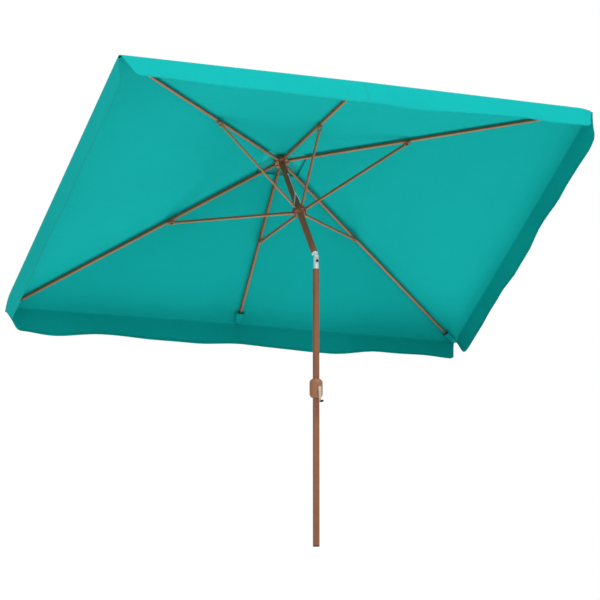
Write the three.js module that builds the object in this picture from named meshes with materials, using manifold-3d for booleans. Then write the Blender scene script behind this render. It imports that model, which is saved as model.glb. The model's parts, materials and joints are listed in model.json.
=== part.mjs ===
// A rectangular market parasol with a crank lift and a push-button tilt, open and tilted.
// Millimetres, +Z up. The origin is the centre of the pole's foot, +X runs along the canopy's long
// side and along the tilt pin, and the tilted canopy leans towards +Y.
import * as THREE from "three";
import { mergeVertices } from "three/addons/utils/BufferGeometryUtils.js";
import Module from "manifold-3d";

// Driving dimensions.
const POLE_R = 19;
const POLE_WALL = 1.5;
const SEAM_HEIGHT = 795; // where the two lower pole lengths meet
const CRANK_HEIGHT = 900;
const TILT_HEIGHT = 1662; // the tilt pin above the foot
const TILT_ANGLE = 35; // degrees from upright
const HUB_HEIGHT = 774; // the rib hinges above the tilt pin, along the mast
const HALF_LENGTH = 1500; // of the canopy's fold line
const HALF_WIDTH = 1000;
const CORNER_DROP = 379; // of the fold line below the rib hinges
const MID_DROP = 370;
const APEX_RISE = 25; // of the canopy planes' meeting point above the rib hinges
const FLAP_DROP = 160;
const FLAP_TRIM = 45; // how far a flap's end is cut back at its lower edge
const VENT_SCALE = 0.0915; // the vent opening's share of the canopy's plan
const FABRIC = 2;
const RIB_WIDTH = 12;
const RIB_DEPTH = 18;
const STRUT_WIDTH = 10;
const STRUT_DEPTH = 15;
const TUBE_WALL = 1;
const HUB_HINGE_R = 32; // the rib hinges' distance from the mast's axis
const RUNNER_HINGE_R = 30;
const RUNNER_DROP = 406; // of the strut hinges below the rib hinges
const CORNER_BRACKET_AT = 726; // along the rib from its hinge
const MID_BRACKET_AT = 484;
const BRACKET_OFFSET = 15; // the strut joint's distance below the rib's centre line
const RIB_BELOW_FOLD = 13; // the rib's centre line below the canopy at the fold
const GAP = 0.3; // between pieces that touch
const POLE_SIDES = 36;
const WIRE_R = 1.5;

const POLE_BORE = POLE_R - POLE_WALL;
const LUG_THICKNESS = 8;
const LUG_REACH = 20; // from a hinge to the start of the tube
const LUG_R = 7;
const rad = THREE.MathUtils.degToRad;

const wasm = await Module();
wasm.setup();

const FINISHES = {
  fabric: [0x14a39c, 0.9, 0],
  bronze_paint: [0x8c6248, 0.45, 0.4],
  brown_plastic: [0x8a4f34, 0.55, 0],
  silver_casting: [0xd2d5d6, 0.3, 0.9],
  cream_plastic: [0xe4d2c4, 0.5, 0],
  black_plastic: [0x121314, 0.45, 0],
  steel: [0xa8abad, 0.35, 0.9],
  white_cord: [0xf2f0ea, 0.85, 0],
};

function materialOf(finish) {
  const [color, roughness, metalness] = FINISHES[finish];
  return new THREE.MeshStandardMaterial({ color, roughness, metalness });
}

// A closed geometry as a manifold-3d solid, turned outside out if its faces point inwards.
function solid(geometry) {
  const bare = geometry.index ? geometry.toNonIndexed() : geometry.clone();
  bare.deleteAttribute("normal");
  bare.deleteAttribute("uv");
  const merged = mergeVertices(bare, 1e-4);
  const corners = merged.index.array;
  const triVerts = [];
  for (let i = 0; i < corners.length; i += 3) {
    const [a, b, c] = [corners[i], corners[i + 1], corners[i + 2]];
    if (a !== b && b !== c && c !== a) triVerts.push(a, b, c);
  }
  const vertProperties = merged.attributes.position.array;
  const make = (faces) =>
    new wasm.Manifold(new wasm.Mesh({ numProp: 3, vertProperties, triVerts: new Uint32Array(faces) }));
  const made = make(triVerts);
  return made.volume() < 0 ? make(triVerts.reverse()) : made;
}

function join(...pieces) {
  return pieces.reduce((whole, piece) => whole.add(piece));
}

function cut(whole, ...tools) {
  return tools.reduce((left, tool) => left.subtract(tool), whole);
}

function meshOf(name, finish, piece) {
  const { numProp, vertProperties, triVerts } = piece.getMesh();
  if (numProp !== 3) throw new Error(name + " carries more than positions");
  const geometry = new THREE.BufferGeometry();
  geometry.setAttribute("position", new THREE.BufferAttribute(vertProperties, 3));
  geometry.setIndex(new THREE.BufferAttribute(triVerts, 1));
  geometry.computeVertexNormals();
  const mesh = new THREE.Mesh(geometry, materialOf(finish));
  mesh.name = name;
  return mesh;
}

// A box between two opposite corners.
function box(low, high) {
  const size = high.map((value, i) => value - low[i]);
  const middle = high.map((value, i) => (value + low[i]) / 2);
  return solid(new THREE.BoxGeometry(...size).translate(...middle));
}

// A round bar between two points.
function rod(radius, from, to, sides = 16) {
  const start = new THREE.Vector3(...from);
  const end = new THREE.Vector3(...to);
  const along = end.clone().sub(start);
  const turn = new THREE.Quaternion().setFromUnitVectors(
    new THREE.Vector3(0, 1, 0),
    along.clone().normalize(),
  );
  const geometry = new THREE.CylinderGeometry(radius, radius, along.length(), sides);
  const middle = start.add(end).multiplyScalar(0.5);
  return solid(geometry.applyQuaternion(turn).translate(...middle));
}

function ball(radius, at, sides = 12) {
  return solid(new THREE.SphereGeometry(radius, sides, sides / 2).translate(...at));
}

// A turned body about Z from [radius, height] points that start and end on the axis, or close.
function turned(profile, sides = POLE_SIDES) {
  const points = profile.map(([radius, height]) => new THREE.Vector2(radius, height));
  return solid(new THREE.LatheGeometry(points, sides).rotateX(Math.PI / 2));
}

function ring(outer, inner, low, high, sides = POLE_SIDES) {
  return turned([[inner, low], [outer, low], [outer, high], [inner, high], [inner, low]], sides);
}

// A sheet of cloth over a list of points, thickened upwards.
function sheet(points, faces, thickness = FABRIC) {
  const count = points.length;
  const positions = [...points.flat(), ...points.flatMap(([x, y, z]) => [x, y, z + thickness])];
  const edges = new Map();
  for (const [a, b, c] of faces)
    for (const [p, q] of [[a, b], [b, c], [c, a]])
      edges.has(q + " " + p) ? edges.delete(q + " " + p) : edges.set(p + " " + q, [p, q]);
  const index = faces.flatMap(([a, b, c]) => [c, b, a, a + count, b + count, c + count]);
  for (const [p, q] of edges.values()) index.push(p, q, q + count, p, q + count, p + count);
  const geometry = new THREE.BufferGeometry();
  geometry.setAttribute("position", new THREE.Float32BufferAttribute(positions, 3));
  return solid(geometry.setIndex(index));
}

const parasol = new THREE.Group();
const mast = new THREE.Group();
mast.position.z = TILT_HEIGHT;
mast.rotation.x = -rad(TILT_ANGLE);
parasol.add(mast);

// ---------------------------------------------------------------- lower pole
const FOOT_FLANGE = 3;
const SLEEVE_REACH = 90; // on each side of the seam
const FITTING_R = 15.3; // the tilt knuckle's radius
const POLE_TOP = TILT_HEIGHT - 72;
const CLEAR_R = POLE_BORE - GAP;

function footPlug() {
  return turned([[0, 0], [POLE_R, 0], [POLE_R, FOOT_FLANGE], [CLEAR_R, FOOT_FLANGE], [CLEAR_R, 28],
    [CLEAR_R - 2, 30], [0, 30]]);
}

function midPole() {
  const tube = ring(POLE_R, POLE_BORE, SEAM_HEIGHT + GAP, POLE_TOP);
  const spindleHole = rod(5, [0, -POLE_R - 5, CRANK_HEIGHT], [0, 0, CRANK_HEIGHT]);
  return cut(tube, spindleHole);
}

parasol.add(
  meshOf("foot_plug", "black_plastic", footPlug()),
  meshOf("lower_pole", "bronze_paint", ring(POLE_R, POLE_BORE, FOOT_FLANGE + GAP, SEAM_HEIGHT)),
  meshOf(
    "pole_joint_sleeve",
    "steel",
    ring(CLEAR_R, CLEAR_R - POLE_WALL, SEAM_HEIGHT - SLEEVE_REACH, SEAM_HEIGHT + SLEEVE_REACH - 10),
  ),
  meshOf("mid_pole", "bronze_paint", midPole()),
);

// ---------------------------------------------------------------- crank housing
const HOUSING_R = 37.5;
const HOUSING_HALF = 56;
const HOUSING_WALL = 3;
const SHOULDER_R = 24;
const SHOULDER_STEPS = 6;
const SCREW_X = 27;
const SCREW_Z = 20;

// The housing's outline at an inset from its outer surface, from its lower rim to its upper rim.
function housingProfile(inset) {
  const radius = HOUSING_R - inset;
  const half = HOUSING_HALF - inset;
  const shoulder = SHOULDER_R - inset / 2;
  const points = [];
  for (const [side, first, last] of [[-1, -90, 0], [1, 0, 90]])
    for (let step = 0; step <= SHOULDER_STEPS; step++) {
      const angle = rad(first + ((last - first) * step) / SHOULDER_STEPS);
      points.push([
        radius - shoulder + shoulder * Math.cos(angle),
        CRANK_HEIGHT + side * (half - shoulder) + shoulder * Math.sin(angle),
      ]);
    }
  return [[0, points[0][1]], ...points, [0, points.at(-1)[1]]];
}

function housingHalf(side) {
  const outer = turned(housingProfile(0));
  const inner = turned(housingProfile(HOUSING_WALL));
  const bosses = join(
    ...[-1, 1].map((end) => {
      const z = CRANK_HEIGHT + end * SCREW_Z;
      return rod(5, [end * SCREW_X, -40, z], [end * SCREW_X, 40, z], 12);
    }),
  );
  const cavity = cut(inner, bosses);
  const bore = rod(POLE_R + GAP, [0, 0, CRANK_HEIGHT - 80], [0, 0, CRANK_HEIGHT + 80], POLE_SIDES);
  const keep = side < 0 ? box([-60, -60, 800], [60, -0.15, 1000]) : box([-60, 0.15, 800], [60, 60, 1000]);
  let half = cut(outer, cavity, bore).intersect(keep);
  for (const end of [-1, 1]) {
    const [x, z] = [end * SCREW_X, CRANK_HEIGHT + end * SCREW_Z];
    half = cut(half, rod(2.2, [x, -18, z], [x, 45, z], 12));
    if (side > 0) half = cut(half, rod(4.6, [x, 16, z], [x, 45, z], 12));
  }
  return side < 0 ? cut(half, rod(5, [0, -50, CRANK_HEIGHT], [0, -20, CRANK_HEIGHT])) : half;
}

function housingScrew(end) {
  const [x, z] = [end * SCREW_X, CRANK_HEIGHT + end * SCREW_Z];
  const head = rod(4.1, [x, 16.3, z], [x, 19.3, z], 12);
  const slot = box([x - 3, 18.3, z - 0.5], [x + 3, 20, z + 0.5]);
  return cut(join(rod(1.8, [x, -16, z], [x, 17, z], 12), head), slot);
}

parasol.add(
  meshOf("crank_housing_front", "brown_plastic", housingHalf(-1)),
  meshOf("crank_housing_rear", "brown_plastic", housingHalf(1)),
  meshOf("housing_screw_upper", "steel", housingScrew(1)),
  meshOf("housing_screw_lower", "steel", housingScrew(-1)),
);

// ---------------------------------------------------------------- crank
const SPINDLE_R = 4;
const DRUM_R = 8;
const DRUM_FLANGE_R = 11;
const DRUM_HALF = 11;
const ARM_DROP = 80;
const ARM_HEAD_R = 9;
const ARM_END_R = 4.5;
const SPINDLE_END = -41.5;

// The spindle with the cord drum on its inner end, which turns about Y.
function crankSpindle() {
  const drum = [[0, -DRUM_HALF], [DRUM_FLANGE_R, -DRUM_HALF], [DRUM_FLANGE_R, 2 - DRUM_HALF],
    [DRUM_R, 3 - DRUM_HALF], [DRUM_R, DRUM_HALF - 3], [DRUM_FLANGE_R, DRUM_HALF - 2],
    [DRUM_FLANGE_R, DRUM_HALF], [0, DRUM_HALF]];
  const points = drum.map(([radius, along]) => new THREE.Vector2(radius, along));
  const turnedDrum = solid(new THREE.LatheGeometry(points, 20).translate(0, 0, CRANK_HEIGHT));
  return join(turnedDrum, rod(SPINDLE_R, [0, SPINDLE_END, CRANK_HEIGHT], [0, 0, CRANK_HEIGHT]));
}

// The arm leans outwards from the spindle's end to the knob.
function crankArm() {
  const outline = new THREE.Shape(
    [[-42, 12], [-47, 13], [-50, 8], [-54, -70], [-55, -ARM_DROP - 8], [-49, -ARM_DROP - 8],
      [-48, -70], [-45, -12], [-42, -12]].map(([y, z]) => new THREE.Vector2(y, z)),
  );
  const slab = new THREE.ExtrudeGeometry(outline, { depth: 24, bevelEnabled: false });
  // The outline's own axes become Y and Z, and the extrusion runs along X.
  slab.applyMatrix4(new THREE.Matrix4().set(0, 0, 1, -12, 1, 0, 0, 0, 0, 1, 0, CRANK_HEIGHT, 0, 0, 0, 1));
  const face = new THREE.Shape();
  face.absarc(0, 0, ARM_HEAD_R, 0, Math.PI, false);
  face.lineTo(-ARM_END_R, -ARM_DROP);
  face.absarc(0, -ARM_DROP, ARM_END_R, Math.PI, 2 * Math.PI, false);
  face.closePath();
  const front = new THREE.ExtrudeGeometry(face, { depth: 40, bevelEnabled: false, curveSegments: 8 });
  const plan = solid(front.rotateX(Math.PI / 2).translate(0, -30, CRANK_HEIGHT));
  return solid(slab).intersect(plan);
}

function crankKnob() {
  const y = -55.5;
  const z = CRANK_HEIGHT - ARM_DROP;
  const profile = [[0, 0], [4.5, 0], [4.5, 3], [6.5, 7], [7, 23], [6.3, 26.5], [4.7, 28.5], [0, 29]];
  const points = profile.map(([radius, along]) => new THREE.Vector2(radius, -along));
  return solid(new THREE.LatheGeometry(points, 16).translate(0, y, z));
}

parasol.add(
  meshOf("crank_spindle", "steel", crankSpindle()),
  meshOf("crank_arm", "cream_plastic", crankArm()),
  meshOf("crank_knob", "black_plastic", crankKnob()),
);

// ---------------------------------------------------------------- tilt joint
const EAR_R = 12.5;
const CROTCH = -13;
const TONGUE_HALF = 8.2;
const CHEEK_HALF = 8.6;
const PIN_R = 3.5;
const BUTTON_R = 8;
const BUTTON_Z = -26;
const BUTTON_TRAVEL = 3;
const BUTTON_BACK = -9;
const POCKET_FLOOR = 0; // the button's pocket ends on the fitting's axis
const CORD_BORE_R = 4;
const CORD_BORE_Y = 8;

function tiltLowerFitting() {
  const body = turned([[0, -125], [CLEAR_R, -125], [CLEAR_R, -72.3], [FITTING_R, -72.3],
    [FITTING_R, CROTCH], [0, CROTCH]]);
  const earBlank = rod(FITTING_R, [0, 0, CROTCH - 1], [0, 0, EAR_R], POLE_SIDES);
  const outline = join(
    rod(EAR_R, [-20, 0, 0], [20, 0, 0], 24),
    box([-20, -EAR_R, CROTCH - 1], [20, EAR_R, 0]),
  );
  const ears = cut(earBlank.intersect(outline), box([-CHEEK_HALF, -20, CROTCH], [CHEEK_HALF, 20, 20]));
  return cut(
    join(body, ears),
    rod(PIN_R + 0.4, [-20, 0, 0], [20, 0, 0]),
    rod(CORD_BORE_R, [0, CORD_BORE_Y, -130], [0, CORD_BORE_Y, CROTCH + 1], 12),
    rod(BUTTON_R + GAP, [0, -20, BUTTON_Z], [0, POCKET_FLOOR, BUTTON_Z], 20),
  ).translate([0, 0, TILT_HEIGHT]);
}

function tiltUpperFitting() {
  const domed = turned([[0, 14], [11, 14.5], [16, 18], [18.6, 23], [POLE_R, 27], [CLEAR_R, 27],
    [CLEAR_R, 85], [0, 85]]);
  const tongue = join(
    rod(EAR_R - 0.5, [-TONGUE_HALF, 0, 0], [TONGUE_HALF, 0, 0], 24),
    box([-TONGUE_HALF, 0.5 - EAR_R, 0], [TONGUE_HALF, EAR_R - 0.5, 18]),
  );
  return cut(
    join(domed, tongue),
    rod(PIN_R + 0.4, [-20, 0, 0], [20, 0, 0]),
    rod(CORD_BORE_R, [0, 0, 13], [0, 0, 90], 12),
    box([-CORD_BORE_R, 5, -14], [CORD_BORE_R, 20, 14]),
  );
}

function tiltPin() {
  const heads = [-1, 1].map((end) => rod(6, [end * (FITTING_R + GAP), 0, 0], [end * 17.8, 0, 0]));
  return join(rod(PIN_R, [-17, 0, 0], [17, 0, 0]), ...heads).translate([0, 0, TILT_HEIGHT]);
}

function tiltButton() {
  const profile = [[0, -19.5], [BUTTON_R - 1.2, -19.5], [BUTTON_R, -18.5], [BUTTON_R, BUTTON_BACK],
    [0, BUTTON_BACK]];
  const points = profile.map(([radius, along]) => new THREE.Vector2(radius, along));
  return solid(new THREE.LatheGeometry(points, 20).translate(0, 0, TILT_HEIGHT + BUTTON_Z));
}

// The spring stands on the pocket's floor and leaves the button its travel.
function buttonSpring() {
  const turns = 4;
  const wire = 0.45;
  const steps = turns * 10;
  const reach = POCKET_FLOOR - BUTTON_BACK - BUTTON_TRAVEL - 2 * (wire + GAP);
  const points = [];
  for (let step = 0; step <= steps; step++) {
    const angle = (2 * Math.PI * turns * step) / steps;
    const y = POCKET_FLOOR - GAP - wire - (reach * step) / steps;
    points.push(new THREE.Vector3(5 * Math.cos(angle), y, 5 * Math.sin(angle)));
  }
  const section = new THREE.Shape().absarc(0, 0, wire, 0, 2 * Math.PI, false);
  const extrudePath = new THREE.CatmullRomCurve3(points);
  const coil = new THREE.ExtrudeGeometry(section, { steps, extrudePath, curveSegments: 3 });
  return solid(coil.translate(0, 0, TILT_HEIGHT + BUTTON_Z));
}

parasol.add(
  meshOf("tilt_lower_fitting", "silver_casting", tiltLowerFitting()),
  meshOf("tilt_pin", "steel", tiltPin()),
  meshOf("tilt_button", "black_plastic", tiltButton()),
  meshOf("button_spring", "steel", buttonSpring()),
);
mast.add(meshOf("tilt_upper_fitting", "silver_casting", tiltUpperFitting()));

// ---------------------------------------------------------------- mast, hub and pulley
const HUB_R = 44;
const HUB_TOP = 16;
const HUB_FOOT = -14;
const SOCKET_DEPTH = 8;
const PULLEY_Z = HUB_HEIGHT - 112;
const PULLEY_Y = -8.5;

const CORNER_REACH = Math.hypot(HALF_LENGTH, HALF_WIDTH);
const CORNER_BEARING = Math.atan2(HALF_WIDTH, HALF_LENGTH);
const SPOKES = [
  ["front_left", Math.PI + CORNER_BEARING, true],
  ["front_mid", 1.5 * Math.PI, false],
  ["front_right", -CORNER_BEARING, true],
  ["back_right", CORNER_BEARING, true],
  ["back_mid", 0.5 * Math.PI, false],
  ["back_left", Math.PI - CORNER_BEARING, true],
].map(([name, bearing, corner]) => {
  const reach = corner ? CORNER_REACH : HALF_WIDTH;
  const drop = (corner ? CORNER_DROP : MID_DROP) + RIB_BELOW_FOLD;
  return { name, bearing, corner, reach, slope: Math.atan2(drop, reach - HUB_HINGE_R) };
});

// A point at a distance out and a height, on a spoke's bearing.
function onSpoke(spoke, out, height) {
  return [out * Math.cos(spoke.bearing), out * Math.sin(spoke.bearing), height];
}

function turnedTo(spoke, piece) {
  return piece.rotate([0, 0, THREE.MathUtils.radToDeg(spoke.bearing)]);
}

// The corners of the wire ring whose straights are the hinge pins of all the spokes.
function ringCorners(distance, height) {
  return SPOKES.map((spoke, i) => {
    const next = SPOKES[(i + 1) % SPOKES.length];
    let between = next.bearing - spoke.bearing;
    while (between < 0) between += 2 * Math.PI;
    while (between > Math.PI) between -= 2 * Math.PI;
    const half = between / 2;
    return onSpoke({ bearing: spoke.bearing + half }, distance / Math.cos(half), height);
  });
}

function wireRing(distance, height) {
  const corners = ringCorners(distance, height);
  return join(...corners.map((corner, i) => rod(WIRE_R, corners.at(i - 1), corner, 6)));
}

// The groove that takes the wire ring, open on one side of the hub.
function ringGroove(distance, low, high) {
  const half = WIRE_R + 0.4;
  const bars = SPOKES.map((spoke) =>
    turnedTo(spoke, box([distance - half, -24, low], [distance + half, 24, high])),
  );
  return join(...bars);
}

function topHub() {
  const body = turned([[0, HUB_FOOT], [HUB_R - 2, HUB_FOOT], [HUB_R, HUB_FOOT + 2], [HUB_R, HUB_TOP - 3],
    [HUB_R - 3, HUB_TOP], [0, HUB_TOP]]);
  const slots = SPOKES.map((spoke) => turnedTo(spoke, box([22, -4.5, HUB_FOOT - 5], [60, 4.5, 10])));
  return cut(
    body,
    rod(POLE_R + GAP, [0, 0, HUB_FOOT - 5], [0, 0, SOCKET_DEPTH + GAP], POLE_SIDES),
    rod(6.4, [0, 0, 0], [0, 0, 30]),
    ringGroove(HUB_HINGE_R, -WIRE_R - 0.4, HUB_TOP + 2),
    ...slots,
  ).translate([0, 0, HUB_HEIGHT]);
}

function upperPole() {
  const tube = ring(POLE_R, POLE_BORE, 27 + GAP, HUB_HEIGHT + SOCKET_DEPTH);
  const slot = box([-4.5, -25, PULLEY_Z - 42], [4.5, 0, PULLEY_Z + 17]);
  return cut(tube, slot, rod(2.3, [-25, PULLEY_Y, PULLEY_Z], [25, PULLEY_Y, PULLEY_Z], 12));
}

function pulley() {
  const profile = [[2.3, -3.5], [12, -3.5], [12, -2.8], [9.5, -0.8], [9.5, 0.8], [12, 2.8], [12, 3.5],
    [2.3, 3.5], [2.3, -3.5]];
  const points = profile.map(([radius, along]) => new THREE.Vector2(radius, along));
  const wheel = new THREE.LatheGeometry(points, 24).rotateZ(Math.PI / 2);
  return solid(wheel.translate(0, PULLEY_Y, PULLEY_Z));
}

function finial() {
  return turned([[0, -8], [6, -8], [6, HUB_TOP + GAP], [41, HUB_TOP + GAP], [41, HUB_TOP + 2],
    [16, HUB_TOP + 5], [6, HUB_TOP + 8], [6, 46], [14, 48], [18, 55], [17, 64], [11, 73], [5, 77],
    [0, 78]], 24).translate([0, 0, HUB_HEIGHT]);
}

mast.add(
  meshOf("upper_pole", "bronze_paint", upperPole()),
  meshOf("top_hub", "brown_plastic", topHub()),
  meshOf("hub_pin_ring", "steel", wireRing(HUB_HINGE_R, HUB_HEIGHT)),
  meshOf("pulley", "black_plastic", pulley()),
  meshOf("pulley_pin", "steel", rod(2, [-18.5, PULLEY_Y, PULLEY_Z], [18.5, PULLEY_Y, PULLEY_Z], 12)),
  meshOf("finial", "brown_plastic", finial()),
);

// ---------------------------------------------------------------- runner and lift cord
const RUNNER_Z = HUB_HEIGHT - RUNNER_DROP;
const RUNNER_R = 40;
const RUNNER_HALF = 16;
const NECK_R = 27;
const NECK_TOP = 36;
const CORD_R = 1.7;

function runner() {
  const body = turned([[POLE_R + 0.6, -RUNNER_HALF - 10], [26, -RUNNER_HALF - 10], [RUNNER_R, -RUNNER_HALF],
    [RUNNER_R, RUNNER_HALF - 2], [RUNNER_R - 2, RUNNER_HALF], [NECK_R, RUNNER_HALF + 3],
    [NECK_R - 1, NECK_TOP], [POLE_R + 0.6, NECK_TOP], [POLE_R + 0.6, -RUNNER_HALF - 10]]);
  const slots = SPOKES.map((spoke) =>
    turnedTo(spoke, box([21.5, -4.5, -10], [60, 4.5, RUNNER_HALF + 0.5])),
  );
  return cut(
    body,
    ringGroove(RUNNER_HINGE_R, -RUNNER_HALF - 11, WIRE_R + 0.4),
    ...slots,
  ).translate([0, 0, RUNNER_Z]);
}

// The cord leaves the pulley, runs down beside the mast to a knot and parts to the runner's sides.
function liftCord() {
  const knot = [0, -23, HUB_HEIGHT - 253];
  const start = [0, -20.1, PULLEY_Z - 1];
  const exit = [0, -21.6, PULLEY_Z - 45];
  const pieces = [rod(CORD_R, start, exit, 6), rod(CORD_R, exit, knot, 6), ball(3.4, knot, 8)];
  for (const side of [-1, 1]) {
    const leg = [
      knot,
      [side * 13, -18.6, HUB_HEIGHT - 310],
      [side * 21, -11.5, HUB_HEIGHT - 350],
      [side * 23.5, -5, RUNNER_Z + NECK_TOP + GAP],
    ];
    for (let i = 1; i < leg.length; i++) pieces.push(rod(CORD_R, leg[i - 1], leg[i], 6));
  }
  const whole = join(...pieces);
  const floor = box([-40, -40, RUNNER_Z + NECK_TOP - 20], [40, 40, RUNNER_Z + NECK_TOP + GAP]);
  return cut(whole, floor);
}

mast.add(
  meshOf("runner", "brown_plastic", runner()),
  meshOf("runner_pin_ring", "steel", wireRing(RUNNER_HINGE_R, RUNNER_Z)),
  meshOf("lift_cord", "white_cord", liftCord()),
);

// ---------------------------------------------------------------- ribs and struts
// A rectangular tube along X.
function squareTube(width, depth, from, to) {
  const outer = box([from, -width / 2, -depth / 2], [to, width / 2, depth / 2]);
  const inner = box(
    [from - 1, TUBE_WALL - width / 2, TUBE_WALL - depth / 2],
    [to + 1, width / 2 - TUBE_WALL, depth / 2 - TUBE_WALL],
  );
  return cut(outer, inner);
}

// The flat eye at a tube's inner end, with a hole for the wire ring.
function eye(plugWidth, plugDepth) {
  const half = LUG_THICKNESS / 2;
  const blank = join(
    rod(LUG_R, [0, -half, 0], [0, half, 0], 12),
    box([0, -half, -LUG_R], [LUG_REACH + 1, half, LUG_R]),
    box([LUG_REACH, -plugWidth / 2, -plugDepth / 2], [LUG_REACH + 14, plugWidth / 2, plugDepth / 2]),
  );
  return cut(blank, rod(WIRE_R + 0.4, [0, -half - 1, 0], [0, half + 1, 0], 8));
}

const TIP_LENGTH = 34;
const CORNER_MARGIN = 84; // from a rib tip's end to the fold, in plan
const MID_MARGIN = 57;
const PLUG_INSET = TUBE_WALL - 0.25;

function ribTubeEnd(spoke) {
  const margin = spoke.corner ? CORNER_MARGIN : MID_MARGIN;
  return (spoke.reach - margin - HUB_HINGE_R) / Math.cos(spoke.slope) - TIP_LENGTH;
}

function rib(spoke) {
  const tube = squareTube(RIB_WIDTH, RIB_DEPTH, LUG_REACH, ribTubeEnd(spoke));
  return join(tube, eye(RIB_WIDTH - 2 * PLUG_INSET, RIB_DEPTH - 2 * PLUG_INSET));
}

// The plastic end that sits in the canopy's pocket.
function ribTip(spoke) {
  const from = ribTubeEnd(spoke) + GAP;
  const profile = [[0, 0], [10.4, 0], [10.4, 6], [8.5, 8], [8.5, 26], [5.5, 33], [0, TIP_LENGTH]];
  const points = profile.map(([radius, along]) => new THREE.Vector2(radius, along));
  const head = solid(new THREE.LatheGeometry(points, 12).rotateZ(-Math.PI / 2).translate(from, 0, 0));
  const clear = TUBE_WALL + GAP;
  const plug = box(
    [from - 30, clear - RIB_WIDTH / 2, clear - RIB_DEPTH / 2],
    [from + 1, RIB_WIDTH / 2 - clear, RIB_DEPTH / 2 - clear],
  );
  return join(head, plug);
}

// A channel clamped round the rib's underside, whose lower part carries the strut's joint.
function ribBracket(spoke) {
  const at = spoke.corner ? CORNER_BRACKET_AT : MID_BRACKET_AT;
  const block = join(
    box([-13, -7.4, -11.5], [13, 7.4, 6]),
    box([-8, -7.4, -BRACKET_OFFSET], [8, 7.4, -10]),
    rod(8, [0, -7.4, -BRACKET_OFFSET], [0, 7.4, -BRACKET_OFFSET], 20),
  );
  const channel = box([-14, -RIB_WIDTH / 2 - GAP, -RIB_DEPTH / 2 - GAP], [14, RIB_WIDTH / 2 + GAP, 20]);
  return cut(block, channel).translate([at, 0, 0]);
}

// Where the strut meets the rib, as a distance out and a height from the rib hinges' level.
function strutJoint(spoke) {
  const at = spoke.corner ? CORNER_BRACKET_AT : MID_BRACKET_AT;
  const [c, s] = [Math.cos(spoke.slope), Math.sin(spoke.slope)];
  return [HUB_HINGE_R + at * c - BRACKET_OFFSET * s, -at * s - BRACKET_OFFSET * c];
}

// A strut runs along X from its eye in the runner to the fork that straddles the rib's bracket.
function strut(length) {
  const forkBack = 34;
  const tube = squareTube(STRUT_WIDTH, STRUT_DEPTH, LUG_REACH, length - forkBack + 9);
  const yoke = box([length - forkBack, -10.4, -6.5], [length - 22, 10.4, 6.5]);
  const plates = [-1, 1].flatMap((side) => [
    rod(6.5, [length, side * 7.9, 0], [length, side * 10.4, 0], 12),
    box(
      [length - forkBack + 1, Math.min(side * 7.9, side * 10.4), -6.5],
      [length, Math.max(side * 7.9, side * 10.4), 6.5],
    ),
    rod(3.4, [length, side * 10, 0], [length, side * 11.6, 0], 8),
  ]);
  const inner = eye(STRUT_WIDTH - 2 * PLUG_INSET, STRUT_DEPTH - 2 * PLUG_INSET);
  const drain = rod(1.5, [length - forkBack - 8, 0, -STRUT_DEPTH], [length - forkBack - 8, 0, 0], 8);
  return cut(join(tube, inner, yoke, ...plates), drain);
}

for (const spoke of SPOKES) {
  const ribFrame = new THREE.Group();
  ribFrame.position.set(...onSpoke(spoke, HUB_HINGE_R, HUB_HEIGHT));
  ribFrame.rotation.set(0, spoke.slope, spoke.bearing, "ZYX");
  ribFrame.add(
    meshOf("rib_" + spoke.name, "bronze_paint", rib(spoke)),
    meshOf("rib_bracket_" + spoke.name, "brown_plastic", ribBracket(spoke)),
    meshOf("rib_tip_" + spoke.name, "brown_plastic", ribTip(spoke)),
  );

  const [out, height] = strutJoint(spoke);
  const [run, rise] = [out - RUNNER_HINGE_R, height + RUNNER_DROP];
  const strutFrame = new THREE.Group();
  strutFrame.position.set(...onSpoke(spoke, RUNNER_HINGE_R, RUNNER_Z));
  strutFrame.rotation.set(0, -Math.atan2(rise, run), spoke.bearing, "ZYX");
  strutFrame.add(meshOf("strut_" + spoke.name, "bronze_paint", strut(Math.hypot(run, rise))));
  mast.add(ribFrame, strutFrame);
}

// ---------------------------------------------------------------- canopy
function foldPoint(spoke) {
  return onSpoke(spoke, spoke.reach, HUB_HEIGHT - (spoke.corner ? CORNER_DROP : MID_DROP));
}

// The canopy at a share of the way from the apex to a fold point, moved sideways by a plan offset.
function towardsFold([x, y, z], share, sideways) {
  const apex = HUB_HEIGHT + APEX_RISE;
  return [x * share + sideways[0], y * share + sideways[1], apex + (z - apex) * share];
}

// One sewn panel between two ribs, from the vent opening to the fold line.
function gore(spoke, next) {
  const [a, b] = [foldPoint(spoke), foldPoint(next)];
  const middle = [a[0] + b[0], a[1] + b[1]];
  const length = Math.hypot(...middle);
  const inset = [spoke, next].map(({ bearing }) => {
    const across = [-Math.sin(bearing), Math.cos(bearing)];
    const sign = across[0] * middle[0] + across[1] * middle[1] > 0 ? 0.2 : -0.2;
    return across.map((value) => value * sign);
  });
  const share = 1 - 0.5 / length;
  const points = [
    towardsFold(a, VENT_SCALE, inset[0]),
    towardsFold(a, share, inset[0]),
    towardsFold(b, share, inset[1]),
    towardsFold(b, VENT_SCALE, inset[1]),
  ];
  return sheet(points, [[0, 1, 2], [0, 2, 3]]);
}

const GORE_NAMES = ["front_left", "front_right", "right", "back_right", "back_left", "left"];
SPOKES.forEach((spoke, i) => {
  const next = SPOKES[(i + 1) % SPOKES.length];
  mast.add(meshOf("gore_" + GORE_NAMES[i], "fabric", gore(spoke, next)));
});

// The raised cap over the vent opening, with a hole for the finial.
function ventCap() {
  const share = 0.155;
  const apex = HUB_HEIGHT + 40;
  const rim = SPOKES.map(foldPoint).map(([x, y]) => [x * share, y * share, apex - 66]);
  const hole = SPOKES.map((spoke) => onSpoke(spoke, 9, apex - 2.5));
  const faces = SPOKES.flatMap((_, i) => {
    const j = (i + 1) % SPOKES.length;
    return [[i, i + 6, j + 6], [i, j + 6, j]];
  });
  return sheet([...hole, ...rim], faces);
}

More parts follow.
